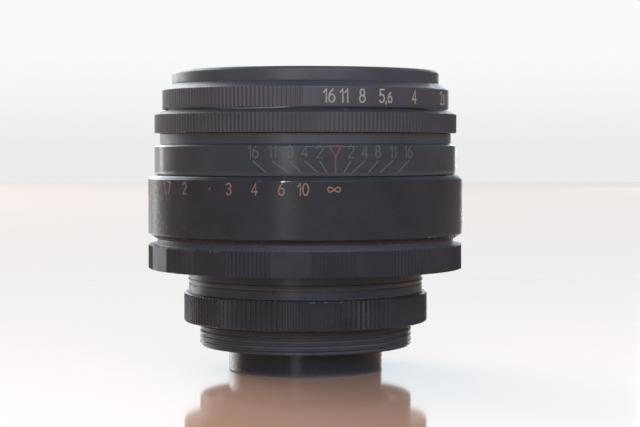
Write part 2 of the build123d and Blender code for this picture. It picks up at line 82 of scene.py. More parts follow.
def joint_range(name):
    """Lowest and highest value of a joint, in degrees or metres."""
    joint = next(j for j in frame["joints"] if j["name"] == name)
    return joint.get("range_deg") or joint["range_m"]


FLANGE_R, THREAD_BOTTOM, FLANGE_TOP = extent("mount_ring")
HELICOID_R, BARREL_BOTTOM, BARREL_TOP = extent("mount_barrel")
REAR_FLANGE_R, REAR_BOTTOM, REAR_TOP = extent("rear_cell")
GRIP_R = extent("distance_ring")[0]
GRIP_BOTTOM, SLEEVE_TOP = extent("focus_grip_ring")[1:]
SCALE_BOTTOM, SCALE_TOP = extent("distance_ring")[1:]
DOF_R, DOF_BOTTOM, DOF_TOP = extent("dof_scale_ring")
HEAD_R, SKIRT_BOTTOM, HEAD_TOP = extent("block_head")
APERTURE_R, APERTURE_BOTTOM, APERTURE_TOP = extent("aperture_ring")
PRESET_R, PRESET_BOTTOM, PRESET_TOP = extent("preset_ring")
RIM_R, RIM_BOTTOM, RIM_TOP = extent("front_rim")
SPRING_R, SPRING_BOTTOM, SPRING_TOP = extent("preset_wave_spring")
FOCUS_TURN = joint_range("focus_turn")[1]
FOCUS_TRAVEL = joint_range("focus_travel")[1] / MM

# ---- Scales ------------------------------------------------------------------------------
INDEX_AZIMUTH = 10.2
INDEX_MIDDLE = INDEX_AZIMUTH + 0.3               # middle of the depth-of-field scale
FOCAL_LENGTH = 58.0
FILM_GAP = 125.0                                 # roughly, from the film to the front focal point
GLYPH_GAP = 0.24                                 # between characters, as a share of their height

# ---- Meshes ------------------------------------------------------------------------------
COLUMNS = 288                                    # faces round a plain ring
THREAD_COLUMNS = 240                             # faces round a screw thread
RIDGE_COLUMNS = 6                                # faces across one ridge of a knurl
KNURL_CREST = 0.17                               # flat top of a ridge, as a share of its pitch


def to_object(name, verts, faces, body, material, replaced=(), sharp=32.0, wear=None):
    """A piece of the object from points in millimetres. It rides on body, if one is given."""
    mesh = bpy.data.meshes.new(name)
    mesh.from_pydata((np.asarray(verts) * MM).tolist(), [], faces)
    if wear is not None:
        mesh.attributes.new("wear", "FLOAT", "POINT").data.foreach_set("value", wear)
    work = bmesh.new()
    work.from_mesh(mesh)
    bmesh.ops.remove_doubles(work, verts=work.verts, dist=0.0004 * MM)
    bmesh.ops.recalc_face_normals(work, faces=work.faces)
    work.to_mesh(mesh)
    work.free()
    mesh.polygons.foreach_set("use_smooth", [True] * len(mesh.polygons))
    mesh.set_sharp_from_angle(angle=math.radians(sharp))
    piece = bpy.data.objects.new(name, mesh)
    bpy.context.scene.collection.objects.link(piece)
    mesh.materials.append(material)
    if body:
        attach(piece, body)
    if replaced:
        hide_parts(*replaced)
    return piece


def rounded(corners, fillet=0.09, shoulder=0.3):
    """Rows (radius, height, wear) of a closed profile with its corners rounded off.
    Wear is 1 on an edge and 0 on the faces beside it."""
    points = np.array(corners, float)
    rows = []
    for before, corner, after in zip(np.roll(points, 1, 0), points, np.roll(points, -1, 0)):
        arms = []
        for end in (before, after):
            length = np.hypot(*(end - corner))
            arms.append(((end - corner) / length, length))
        (to_before, long_before), (to_after, long_after) = arms
        cut = min(fillet, 0.4 * long_before, 0.4 * long_after)
        for direction, length, side in ((to_before, long_before, 0), (to_after, long_after, 1)):
            edge = [(*(corner + direction * cut), 0.8)]
            if length > 2.2 * shoulder:
                flat = (*(corner + direction * shoulder), 0.0)
                edge = edge + [flat] if side else [flat] + edge
            tip = (*(corner + 0.3 * cut * (to_before + to_after)), 1.0)
            rows += edge if side else edge + [tip]
    return np.array(rows)


def ring_skin(rows, columns, shape=None):
    """Points and faces of a turned ring. shape(azimuth, radius, height) gives the radius."""
    azimuth = np.linspace(0, 2 * np.pi, columns, endpoint=False)
    radius = np.repeat(rows[:, :1], columns, axis=1)
    height = np.repeat(rows[:, 1:2], columns, axis=1)
    if shape:
        radius = shape(np.degrees(azimuth)[None, :], radius, height)
    verts = np.stack([radius * np.sin(azimuth), -radius * np.cos(azimuth), height], axis=-1)
    count = len(rows)
    faces = []
    for row in range(count):
        below, above = row * columns, (row + 1) % count * columns
        for column in range(columns):
            side = (column + 1) % columns
            faces.append((below + column, below + side, above + side, above + column))
    return verts.reshape(-1, 3), faces, np.repeat(rows[:, 2], columns)


def ring(name, body, material, corners, columns=COLUMNS, shape=None, fillet=0.09):
    """A turned ring that stands for the CAD node of its name."""
    verts, faces, wear = ring_skin(rounded(corners, fillet), columns, shape)
    return to_object(f"{name}_detail", verts, faces, body, material, (name,), wear=wear)


def helix_skin(bore, outside, bottom, top, pitch, depth, starts=1, inner=False):
    """A tube with a real screw thread on its outside, or in its bore if inner."""
    per_pitch = (0.0, 0.12, 0.44, 0.56, 0.88)        # crest edges, root edges, next crest
    level = (0.0, 0.0, 1.0, 1.0, 0.0)
    lead = pitch * starts
    azimuth = np.linspace(0, 2 * np.pi, THREAD_COLUMNS + 1)
    turns = azimuth / (2 * np.pi)
    first = -math.ceil(lead / pitch) - 1
    last = math.ceil((top - bottom) / pitch) + 1
    sign = -1 if inner else 1
    face_r = bore if inner else outside
    run_out, end_cut = 0.35 * pitch, 0.9             # the thread runs out at both ends

    def thread_radius(height):
        phase = np.mod((height - bottom) / pitch - starts * turns, 1.0)
        cut = np.interp(phase, per_pitch + (1.0,), level + (0.0,))
        fade = np.clip(np.minimum(height - bottom, top - height) / run_out, 0, 1)
        return face_r - sign * depth * np.maximum(cut, end_cut * (1 - fade))

    heights = []
    for number in range(first, last + starts):
        for share in per_pitch:
            height = bottom + pitch * (number + share + starts * turns)
            heights.append(np.clip(height, bottom, top))
    rows = [(thread_radius(height), height) for height in heights]
    back = outside if inner else bore
    flat = np.ones(THREAD_COLUMNS + 1)
    rows = rows + [(back * flat, top * flat), (back * flat, bottom * flat)]
    radius = np.array([row[0] for row in rows])
    height = np.array([row[1] for row in rows])
    verts = np.stack([radius * np.sin(azimuth), -radius * np.cos(azimuth), height], axis=-1)
    count, width = len(rows), THREAD_COLUMNS + 1
    faces = []
    for row in range(count):
        below, above = row * width, (row + 1) % count * width
        for column in range(THREAD_COLUMNS):
            faces.append((below + column, below + column + 1, above + column + 1, above + column))
    wear = np.repeat([0.25] * (count - 2) + [0.0, 0.0], width)
    return verts.reshape(-1, 3), faces, wear


def joined(*skins):
    """Several skins as one."""
    verts, faces, wear = [], [], []
    start = 0
    for skin_verts, skin_faces, skin_wear in skins:
        verts.append(skin_verts)
        faces += [tuple(index + start for index in face) for face in skin_faces]
        wear.append(skin_wear)
        start += len(skin_verts)
    return np.concatenate(verts), faces, np.concatenate(wear)


def knurl(count, depth, keep=None):
    """Straight knurling: the radius is cut back between ridges, except where keep is 1."""
    def shape(azimuth, radius, height):
        phase = np.mod(azimuth / 360 * count, 1.0)
        cut = np.interp(phase, (0, KNURL_CREST, (1 + KNURL_CREST) / 2, 1), (0, 0, 1, 0))
        if keep is not None:
            cut = cut * (1 - keep(azimuth))
        return np.minimum(radius, radius.max() - depth * cut)
    return shape


# ---- Stroke lettering --------------------------------------------------------------------
def arc(x, y, wide, high, start, end):
    """Points of an elliptical arc, angles in degrees from +X."""
    steps = max(3, int(abs(end - start) / 14))
    angles = np.radians(np.linspace(start, end, steps + 1))
    return [(x + wide * math.cos(a), y + high * math.sin(a)) for a in angles]


def lemniscate(wide, high):
    """Points of the infinity sign, a closed curve."""
    turns = np.linspace(0, 2 * np.pi, 41)
    return [(wide / 2 * (1 + math.cos(t)), 0.5 + high * math.sin(2 * t) / 2) for t in turns]


# Each glyph is its width and its strokes, for a height of 1.
GLYPHS = {
    "0": (0.56, [arc(0.28, 0.5, 0.28, 0.5, 90, 450)]),
    "1": (0.24, [[(0.0, 0.76), (0.24, 1.0), (0.24, 0.0)]]),
    "2": (0.56, [arc(0.28, 0.71, 0.27, 0.29, 170, -35) + [(0.0, 0.0), (0.56, 0.0)]]),
    "3": (0.54, [arc(0.26, 0.76, 0.24, 0.24, 155, -90) + arc(0.26, 0.26, 0.27, 0.26, 90, -155)]),
    "4": (0.60, [[(0.44, 0.0), (0.44, 1.0), (0.0, 0.28), (0.6, 0.28)]]),
    "5": (0.54, [[(0.5, 1.0), (0.1, 1.0), (0.06, 0.56)] + arc(0.26, 0.31, 0.28, 0.31, 118, -150)]),
    "6": (0.56, [arc(0.28, 0.3, 0.28, 0.3, 90, 450), arc(0.56, 0.3, 0.56, 0.7, 180, 106)]),
    "7": (0.54, [[(0.0, 1.0), (0.54, 1.0), (0.18, 0.0)]]),
    "8": (0.56, [arc(0.28, 0.76, 0.22, 0.24, 90, 450), arc(0.28, 0.26, 0.28, 0.26, 90, 450)]),
    "9": (0.56, [arc(0.28, 0.7, 0.28, 0.3, 90, 450), arc(0.0, 0.7, 0.56, 0.7, 0, -74)]),
    ",": (0.14, [[(0.1, 0.08), (0.03, -0.14)]]),
    "inf": (1.08, [lemniscate(1.08, 0.42)]),
}


def text_strokes(glyphs, azimuth, height, size, surface_r, narrow=1.0):
    """Strokes of a number centred at an azimuth, as (arc length, height) points."""
    total = sum(GLYPHS[g][0] for g in glyphs) + GLYPH_GAP * (len(glyphs) - 1)
    cursor = math.radians(azimuth) * surface_r - total * size * narrow / 2
    strokes = []
    for glyph in glyphs:
        wide, paths = GLYPHS[glyph]
        for path in paths:
            strokes.append([(cursor + x * size * narrow, height + (y - 0.5) * size)
                            for x, y in path])
        cursor += (wide + GLYPH_GAP) * size * narrow
    return strokes


def bead(stroke, width, surface_r, lift=0.02, sunk=0.05):
    """Points and faces of one painted stroke that lies on a cylinder."""
    path = np.array(stroke, float)
    moved = np.hypot(*np.diff(path, axis=0).T) > 1e-6
    path = path[np.append(True, moved)]
    closed = np.hypot(*(path[0] - path[-1])) < 1e-6
    if closed:
        path = path[:-1]
        steps = np.roll(path, -1, 0) - path
        ahead = steps / np.hypot(steps[:, 0], steps[:, 1])[:, None]
        behind = np.roll(ahead, 1, 0)
    else:
        steps = np.diff(path, axis=0)
        unit = steps / np.hypot(steps[:, 0], steps[:, 1])[:, None]
        ahead, behind = np.vstack([unit, unit[-1:]]), np.vstack([unit[:1], unit])
    along = ahead + behind
    along /= np.hypot(along[:, 0], along[:, 1])[:, None]
    stretch = 1 / np.maximum(0.62, (along * ahead).sum(1))
    across = np.stack([-along[:, 1], along[:, 0]], axis=1)
    scale = np.array(stretch)
    if not closed:
        cap = np.radians((80, 55, 28))
        half = width / 2
        start = path[0] - np.sin(cap)[:, None] * half * along[0]
        end = path[-1] + np.sin(cap[::-1])[:, None] * half * along[-1]
        path = np.vstack([start, path, end])
        across = np.vstack([np.repeat(across[:1], 3, 0), across, np.repeat(across[-1:], 3, 0)])
        scale = np.concatenate([np.cos(cap), scale, np.cos(cap[::-1])])
    section = np.array([(-1, -sunk), (-1, 0.4 * lift), (-0.62, lift), (0.62, lift),
                        (1, 0.4 * lift), (1, -sunk)])
    flat = path[:, None, :] + across[:, None, :] * (section[:, 0] * width / 2)[None, :, None] \
        * scale[:, None, None]
    radius = surface_r + section[:, 1][None, :]
    angle = flat[..., 0] / surface_r
    verts = np.stack([radius * np.sin(angle), -radius * np.cos(angle), flat[..., 1]], axis=-1)
    count, sides = len(path), len(section)
    faces = []
    for row in range(count if closed else count - 1):
        here, there = row * sides, (row + 1) % count * sides
        for side in range(sides):
            other = (side + 1) % sides
            faces.append((here + side, here + other, there + other, there + side))
    if not closed:
        faces.append(tuple(range(sides)))
        faces.append(tuple(range((count - 1) * sides, count * sides)))
    return verts.reshape(-1, 3), faces, np.zeros(count * sides)


def marks(name, body, material, strokes, width, surface_r):
    """A piece made of painted strokes on a ring."""
    verts, faces, _ = joined(*[bead(stroke, width, surface_r) for stroke in strokes])
    return to_object(name, verts, faces, body, material)


def dot(name, body, material, azimuth, height, surface_r, size, slope=0.0, lift=0.06):
    """A round paint dot. slope tilts it towards +Z, in degrees."""
    rings, sides = 4, 28
    tilt = math.radians(slope)
    verts, faces = [], []
    for number in range(rings + 1):
        share = number / rings
        reach, rise = size / 2 * math.cos(share * np.pi / 2), lift * math.sin(share * np.pi / 2)
        for side in range(sides):
            turn = 2 * np.pi * side / sides
            across, up, out = reach * math.cos(turn), reach * math.sin(turn), rise - 0.02
            verts.append((across, -(surface_r + out * math.cos(tilt) - up * math.sin(tilt)),
                          height + up * math.cos(tilt) + out * math.sin(tilt)))
    for number in range(rings):
        for side in range(sides):
            other = (side + 1) % sides
            faces.append((number * sides + side, number * sides + other,
                          (number + 1) * sides + other, (number + 1) * sides + side))
    faces.append(tuple(range(sides)))
    turn = math.radians(azimuth)
    spin = np.array([[math.cos(turn), -math.sin(turn), 0], [math.sin(turn), math.cos(turn), 0],
                     [0, 0, 1]])
    return to_object(name, np.array(verts) @ spin.T, faces, body, material)


# ---- Materials ---------------------------------------------------------------------------
def shader(name, **sockets):
    """A material and a small toolbox for its nodes."""
    material = bpy.data.materials.new(name)
    material.use_nodes = True
    tree = material.node_tree
    main = tree.nodes["Principled BSDF"]
    for socket, value in sockets.items():
        main.inputs[socket.replace("_", " ")].default_value = value
    return material, tree, main


def node(tree, kind, inputs=None, **settings):
    """Adds a node. An input is a value, or the output socket that feeds it."""
    made = tree.nodes.new(kind)
    for setting, value in settings.items():
        setattr(made, setting, value)
    for socket, value in (inputs or {}).items():
        if isinstance(value, bpy.types.NodeSocket):
            tree.links.new(value, made.inputs[socket])
        else:
            made.inputs[socket].default_value = value
    return made


def place(tree, stretch=(1, 1, 1)):
    """Coordinates that stay with the piece, stretched along the axes."""
    where = node(tree, "ShaderNodeTexCoord").outputs["Object"]
    return node(tree, "ShaderNodeMapping", {"Vector": where, "Scale": stretch}).outputs["Vector"]


def noise(tree, scale, detail=3.0, rough=0.55, stretch=(1, 1, 1)):
    """Noise of a scale in cycles per metre."""
    return node(tree, "ShaderNodeTexNoise", {"Vector": place(tree, stretch), "Scale": scale,
                                             "Detail": detail, "Roughness": rough}).outputs["Fac"]


def remap(tree, value, low, high, to_low=0.0, to_high=1.0):
    """Maps low..high to to_low..to_high, held at the ends."""
    return node(tree, "ShaderNodeMapRange", {"Value": value, "From Min": low, "From Max": high,
                                             "To Min": to_low, "To Max": to_high}).outputs[0]


def mix(tree, share, first, second):
    """Mixes two colours."""
    made = node(tree, "ShaderNodeMix", data_type="RGBA")
    for number, value in ((0, share), (6, first), (7, second)):
        if isinstance(value, bpy.types.NodeSocket):
            tree.links.new(value, made.inputs[number])
        else:
            made.inputs[number].default_value = value
    return made.outputs[2]


def math_node(tree, operation, first, second):
    """A math node of two inputs."""
    return node(tree, "ShaderNodeMath", {0: first, 1: second}, operation=operation).outputs[0]


# DUST is real dust in specks; the colour for crevices is painted fill light, not dust.
DUST, PAINTED_CREVICE_FILL = (0.45, 0.44, 0.42, 1), (0.26, 0.25, 0.28, 1)
BARE_METAL = (0.62, 0.61, 0.59, 1)


def shaded(colour, share):
    """A colour made darker or lighter, with alpha."""
    return (*[channel * share for channel in colour], 1)


def painted(name, colour, roughness, gloss=0.4, worn=0.2, dust=0.15, spread=0.07, grain=0.5):
    """Black finish on aluminium: mottled, finely grained, speckled with dust and worn on its
    edges.
    Its crevices are painted a lighter grey: painted fill light that lifts their shade."""
    material, tree, main = shader(name, Specular_IOR_Level=gloss)
    cloud = remap(tree, noise(tree, 160, 4.0), 0.35, 0.65)
    base = mix(tree, cloud, shaded(colour, 0.9), shaded(colour, 1.12))
    specks = remap(tree, noise(tree, 2600, 1.0), 0.70, 0.76)
    patches = remap(tree, noise(tree, 220, 2.0), 0.45, 0.65)
    dusty = math_node(tree, "MULTIPLY", math_node(tree, "MULTIPLY", specks, patches), dust)
    base = mix(tree, dusty, base, DUST)
    # Painted fill light: where ambient occlusion finds a recess, the base turns a lighter grey
    # that lifts the shade there.
    open_sky = node(tree, "ShaderNodeAmbientOcclusion", {"Distance": 0.0020}, samples=4)
    painted_fill_share = remap(tree, open_sky.outputs["AO"], 0.25, 0.75, 0.8, 0.0)
    base = mix(tree, painted_fill_share, base, PAINTED_CREVICE_FILL)
    edge = node(tree, "ShaderNodeAttribute", attribute_name="wear").outputs["Fac"]
    ragged = math_node(tree, "ADD", noise(tree, 900, 5.0, 0.7), noise(tree, 130, 2.0))
    bare = remap(tree, math_node(tree, "ADD", ragged, math_node(tree, "MULTIPLY", edge, worn)),
                 1.42, 1.50)
    tree.links.new(mix(tree, bare, base, BARE_METAL), main.inputs["Base Color"])
    tree.links.new(bare, main.inputs["Metallic"])
    rough = remap(tree, noise(tree, 420, 4.0, 0.6), 0.3, 0.7, roughness - spread,
                  roughness + spread)
    tree.links.new(rough, main.inputs["Roughness"])
    lines = noise(tree, 60, 2.0, 0.5, (1, 1, 160))
    height = math_node(tree, "ADD", math_node(tree, "MULTIPLY", lines, 0.6 * grain),
                       math_node(tree, "MULTIPLY", noise(tree, 5200, 2.0), grain))
    bump = node(tree, "ShaderNodeBump", {"Height": height, "Strength": 0.5, "Distance": 0.00003})
    tree.links.new(bump.outputs[0], main.inputs["Normal"])
    return material


def metal(name, colour, roughness, stained=0.2):
    """Bare turned metal with fine lines and a film of old grease."""
    material, tree, main = shader(name, Metallic=1.0)
    film = remap(tree, noise(tree, 240, 4.0), 0.4, 0.75, 0.0, stained)
    tree.links.new(mix(tree, film, (*colour, 1), shaded(colour, 0.35)), main.inputs["Base Color"])
    lines = noise(tree, 80, 3.0, 0.6, (1, 1, 140))
    tree.links.new(remap(tree, lines, 0.3, 0.7, roughness - 0.08, roughness + 0.12),
                   main.inputs["Roughness"])
    bump = node(tree, "ShaderNodeBump", {"Height": lines, "Strength": 0.4, "Distance": 0.00003})
    tree.links.new(bump.outputs[0], main.inputs["Normal"])
    return material


def paint(name, colour, fade=0.25):
    """Paint in an engraved mark: uneven, a little dirty, quite matt."""
    material, tree, main = shader(name, Roughness=0.55, Specular_IOR_Level=0.3)
    dirt = remap(tree, noise(tree, 1500, 4.0, 0.65), 0.42, 0.78, 0.0, fade)
    tree.links.new(mix(tree, dirt, (*colour, 1), shaded(colour, 0.3)), main.inputs["Base Color"])
    bump = node(tree, "ShaderNodeBump", {"Height": noise(tree, 5000, 2.0), "Strength": 0.4,
                                         "Distance": 0.00002})
    tree.links.new(bump.outputs[0], main.inputs["Normal"])
    return material


def coated_glass(name, tint, film):
    """Optical glass with a thin coating, and a little dust on it."""
    material, tree, main = shader(name, Transmission_Weight=1.0, IOR=1.6, Thin_Film_IOR=1.38,
                                  Thin_Film_Thickness=film, Base_Color=(*tint, 1))
    dust = remap(tree, noise(tree, 1800, 2.0), 0.66, 0.78, 0.0, 0.18)
    tree.links.new(dust, main.inputs["Roughness"])
    return material


HEAD_BLACK = painted("grey_black_anodised", (0.060, 0.063, 0.078), 0.40, 0.9)
RING_BLACK = painted("black_anodised", (0.051, 0.054, 0.068), 0.42, 0.75)
SCALE_BLACK = painted("satin_black", (0.056, 0.062, 0.073), 0.22, 0.5, spread=0.03, grain=0.1)
ENAMEL = painted("black_paint", (0.037, 0.040, 0.049), 0.26, 0.35, spread=0.04, grain=0.2)
GRIP_BLACK = painted("grip_paint", (0.038, 0.041, 0.050), 0.36, 0.25)
# The neck's black is lighter than the focusing ring's paint: painted fill light for the shade
# under the grip ring.
FILL_LIT_NECK_BLACK = painted("barrel_black_with_painted_fill", (0.057, 0.074, 0.096), 0.34)
# The thread's black is lighter than the flange's paint: painted fill light for the shade under the
# flange.
FILL_LIT_THREAD_BLACK = painted("thread_black_with_painted_fill", (0.058, 0.065, 0.076), 0.40)
MATT = painted("matt_black_interior", (0.010, 0.010, 0.010), 0.62, 0.3, worn=0.0, dust=0.1)
ALUMINIUM = metal("bare_aluminium", (0.72, 0.72, 0.73), 0.30)
BRASS = metal("brass", (0.72, 0.52, 0.24), 0.28, 0.35)
SCREW = metal("screw_steel", (0.16, 0.16, 0.17), 0.40)
SPRING = metal("spring_steel", (0.30, 0.30, 0.31), 0.42)
BLADE = metal("blued_steel", (0.075, 0.075, 0.085), 0.38)
GLASS = coated_glass("coated_glass", (0.97, 0.98, 1.0), 120.0)
IVORY = paint("ivory_paint", (0.50, 0.44, 0.41))
ORANGE = paint("orange_paint", (0.375, 0.22, 0.185))
DULL_GREEN = paint("dull_green_paint", (0.130, 0.170, 0.165))
RED = paint("red_paint", (0.23, 0.105, 0.135))
SLOT_MATERIALS = {
    "grey_black_anodised": HEAD_BLACK, "black_paint": ENAMEL, "matt_black_interior": MATT,
    "bare_aluminium": ALUMINIUM, "brass": BRASS, "screw_steel": SCREW, "spring_steel": SPRING,
    "blued_steel": BLADE, "coated_glass": GLASS,
}


def finish_cad_nodes():
    """Gives every CAD node that still shows the material of its slot."""
    for entry in frame["record"]["subparts"]:
        mesh = frame["nodes"][entry["node"]].data
        mesh.materials.clear()
        mesh.materials.append(SLOT_MATERIALS[entry["material_slot"]])


# ---- Mount -------------------------------------------------------------------------------
def mount_ring():
    """Knurled flange with the M42 thread below it."""
    bore, thread_r, pitch, thread_depth = 19.45, 20.95, 1.0, 0.5
    low_bevel, high_bevel, ridges, depth = 0.25, 0.35, 145, 0.3
    flange = ring_skin(rounded([
        (bore, 0.0), (FLANGE_R - low_bevel, 0.0), (FLANGE_R, low_bevel),
        (FLANGE_R, FLANGE_TOP - high_bevel), (FLANGE_R - high_bevel, FLANGE_TOP),
        (bore, FLANGE_TOP),
    ], 0.06, 0.2), ridges * RIDGE_COLUMNS, knurl(ridges, depth))
    thread = helix_skin(bore, thread_r, THREAD_BOTTOM, 0.05, pitch, thread_depth)
    for name, skin, material, replaced in (("mount_ring_detail", flange, ENAMEL, ("mount_ring",)),
                                           ("mount_thread_detail", thread, FILL_LIT_THREAD_BLACK, ())):
        verts, faces, wear = skin
        piece = to_object(name, verts, faces, "mount", material, replaced, wear=wear)


def mount_barrel():
    """Fixed barrel: neck with its turned grooves, and the focusing thread above it."""
    neck_r, bore, shank_r, shank_bore, shelf = 23.1, 21.45, 19.4, 16.6, 5.4
    groove_r, groove_bottom, groove_top = neck_r - 0.3, 7.4, 7.8
    bead_r, bead_bottom, bead_top = neck_r + 0.15, 8.1, 8.45
    slope = 0.05
    thread_bottom, thread_depth, starts = 11.3, 0.42, 12
    lead = 360 / FOCUS_TURN * FOCUS_TRAVEL
    body = ring_skin(rounded([
        (shank_bore, BARREL_BOTTOM), (shank_r, BARREL_BOTTOM), (shank_r, FLANGE_TOP),
        (neck_r, FLANGE_TOP), (neck_r, groove_bottom), (groove_r, groove_bottom + slope),
        (groove_r, groove_top - slope), (neck_r, groove_top), (neck_r, bead_bottom),
        (bead_r, bead_bottom + slope), (bead_r, bead_top - slope), (neck_r, bead_top),
        (neck_r, thread_bottom), (bore, thread_bottom), (bore, shelf),
        (shank_bore, shelf)], 0.05, 0.2), COLUMNS)
    thread = helix_skin(bore, HELICOID_R, thread_bottom, BARREL_TOP, lead / starts,
                        thread_depth, starts)
    verts, faces, wear = joined(body, thread)
    piece = to_object("mount_barrel_detail", verts, faces, "mount", FILL_LIT_NECK_BLACK, ("mount_barrel",),
                      wear=wear)


# ---- Lens block --------------------------------------------------------------------------
def rear_cell():
    """Rear tube, with fine steps inside its mouth."""
    tube_r, shelf_top, flange_top, neck_r, bevel = 15.18, 9.0, 10.5, 13.2, 0.12
    lip_r, lip_bottom, glass_r, seat = 10.6, 12.75, 11.55, -3.7
    mouth_r, foot_r, step_depth, step_high, step_pitch = 12.35, 12.55, 0.4, 0.2, 0.4
    first_step = REAR_BOTTOM + 1.3
    steps = []
    for number in range(3):
        top = first_step - step_pitch * number
        steps += [(mouth_r, top), (mouth_r + step_depth, top),
                  (mouth_r + step_depth, top - step_high), (mouth_r, top - step_high)]
    piece = ring("rear_cell", "lens_block", ENAMEL, [
        *steps, (foot_r, REAR_BOTTOM), (tube_r - bevel, REAR_BOTTOM),
        (tube_r, REAR_BOTTOM + bevel), (tube_r, shelf_top), (REAR_FLANGE_R, shelf_top),
        (REAR_FLANGE_R, flange_top), (neck_r, flange_top), (neck_r, REAR_TOP),
        (lip_r, REAR_TOP), (lip_r, lip_bottom), (glass_r, lip_bottom), (glass_r, seat),
        (mouth_r, seat)], fillet=0.05)


def block_head():
    """Head with the smooth neck between the scale ring and the aperture ring."""
    tube_r, nose_r, bore, seat, nose_bottom = 26.5, 26.2, 25.2, 40.3, 45.1
    skirt_bore, disc_bore, disc_bottom, disc_top = 28.0, 21.42, 31.0, 35.0
    shown_top, tube_bore = 36.85, 24.6
    piece = ring("block_head", "lens_block", RING_BLACK, [
        (disc_bore, disc_bottom), (skirt_bore, disc_bottom), (skirt_bore, SKIRT_BOTTOM),
        (HEAD_R, SKIRT_BOTTOM), (HEAD_R, shown_top), (tube_r, shown_top), (tube_r, nose_bottom),
        (nose_r, nose_bottom), (nose_r, HEAD_TOP), (bore, HEAD_TOP), (bore, seat),
        (tube_bore, seat), (tube_bore, disc_top), (disc_bore, disc_top)])


def dof_ring():
    """Fixed ring of the depth-of-field scale."""
    bore, top_r = HEAD_R + 0.02, HEAD_R + 0.1
    piece = ring("dof_scale_ring", "lens_block", SCALE_BLACK, [
        (bore, DOF_BOTTOM), (DOF_R - 0.15, DOF_BOTTOM), (DOF_R, DOF_BOTTOM + 0.7),
        (DOF_R, DOF_TOP - 0.45), (top_r, DOF_TOP), (bore, DOF_TOP)], fillet=0.2)


def front_rim():
    """Front rim with a real filter thread in its bore."""
    bore, back_r, lower_bore, sleeve_r, bevel = 24.1, 24.6, 22.65, 25.18, 0.5
    thread_bottom, pitch, thread_depth, overlap = 44.5, 0.75, 0.4, 0.02
    body = ring_skin(rounded([
        (lower_bore, RIM_BOTTOM), (sleeve_r, RIM_BOTTOM), (sleeve_r, PRESET_TOP),
        (RIM_R, PRESET_TOP), (RIM_R, RIM_TOP - bevel), (RIM_R - bevel, RIM_TOP),
        (back_r, RIM_TOP), (back_r, thread_bottom), (lower_bore, thread_bottom)], 0.07), COLUMNS)
    thread = helix_skin(bore, back_r + overlap, thread_bottom + overlap, RIM_TOP - 0.25, pitch,
                        thread_depth, inner=True)
    verts, faces, wear = joined(body, thread)
    piece = to_object("front_rim_detail", verts, faces, "lens_block", HEAD_BLACK, ("front_rim",),
                      wear=wear)


def name_ring():
    """Conical trim ring with fine circular steps against stray light."""
    outer_r, bottom, top = extent("name_ring")
    inner_r, inner_top, cone_r, count = 16.6, 40.3, 22.15, 15
    seat_r, seat = 17.55, 41.55
    cone = []
    for number in range(count):
        share, after = number / count, (number + 1) / count
        r = cone_r + (inner_r - cone_r) * share
        z = top + (inner_top - top) * share
        z_after = top + (inner_top - top) * after
        cone += [(r, z), (r, z_after)]
    piece = ring("name_ring", "lens_block", MATT, [
        (inner_r, bottom), (seat_r, bottom), (seat_r, seat), (outer_r, seat), (outer_r, top),
        *cone, (inner_r, inner_top)], fillet=0.04)


def retaining_ring(name, corners, top_z, upward):
    """Threaded ring with two spanner notches in the face at top_z. upward is 1 where that face
    looks towards +Z and -1 where it looks towards -Z."""
    width, depth = 7.0, 0.5
    verts, faces, wear = ring_skin(rounded(corners, 0.05), COLUMNS)
    azimuth = np.degrees(np.arctan2(verts[:, 0], -verts[:, 1]))
    off = np.abs(np.mod(azimuth, 180) - 90)
    verts[(off < width / 2) & (np.abs(verts[:, 2] - top_z) < 0.25), 2] -= upward * depth
    piece = to_object(f"{name}_detail", verts, faces, "lens_block", MATT, (name,), wear=wear)


def retaining_rings():
    """The rings in front of the first element and behind the last."""
    bottom, low_edge, top = 35.4, 35.95, 37.2
    retaining_ring("front_retaining_ring",
                   [(15.3, low_edge), (16.2, bottom), (16.2, top), (15.3, top)], top, 1)
    bottom, low_edge, top = -8.0, -6.25, -5.95
    retaining_ring("rear_retaining_ring",
                   [(11.2, bottom), (12.3, bottom), (12.3, top), (11.2, low_edge)], bottom, -1)


def glass_element(name, edge_r, front, rear):
    """A ground and polished element. Each face is (vertex, curve, clear radius), and a
    positive curve has its centre towards the mount."""
    steps, columns = 22, 160

    def face_rows(vertex, curve, clear):
        radii = np.linspace(0.0, clear, steps)
        if curve is None:
            heights = np.full(steps, vertex)
        else:
            heights = vertex - np.copysign(abs(curve) - np.sqrt(curve**2 - radii**2), curve)
        rows = [(r, z, 0.0) for r, z in zip(radii, heights)]
        return rows + ([(edge_r, heights[-1], 0.0)] if clear < edge_r else [])

    rows = np.array(face_rows(*front) + face_rows(*rear)[::-1])
    verts, faces, _ = ring_skin(rows, columns)
    faces = faces[:(len(rows) - 1) * columns]
    piece = to_object(f"{name}_polished", verts, faces, "lens_block", GLASS, (name,), sharp=25)


def glass():
    """The six elements."""
    glass_element("front_element", 16.2, (39.0, 37.0, 16.2), (33.1, 106.0, 16.2))
    glass_element("front_doublet_crown", 14.6, (32.7, 23.0, 14.6), (24.5, None, 14.6))
    glass_element("front_doublet_flint", 13.5, (24.48, None, 13.5), (22.3, 15.0, 10.4))
    glass_element("rear_doublet_flint", 11.5, (9.1, -17.0, 10.5), (6.92, 33.0, 11.5))
    glass_element("rear_doublet_crown", 11.5, (6.9, 33.0, 11.5), (-2.7, -24.0, 11.5))
    glass_element("rear_element", 12.3, (-3.0, 87.0, 12.3), (-7.5, -47.0, 12.3))


# ---- Focusing ring -----------------------------------------------------------------------
LOBE_COUNT, LOBE_AZIMUTH, LOBE_WIDTH = 12, 10.0, 15.5
GRIP_TOP, GRIP_RIDGES, GROOVE_R = 15.2, 240, 29.25


def lobe_share(azimuth):
    """1 on a lobe of the grip and 0 in the hollow between two, and the angle from the middle
    of the nearest lobe."""
    period, blend = 360 / LOBE_COUNT, 0.35
    off = np.abs(np.mod(azimuth - LOBE_AZIMUTH + period / 2, period) - period / 2)
    return np.clip((LOBE_WIDTH / 2 - off) / blend + 0.5, 0, 1), off


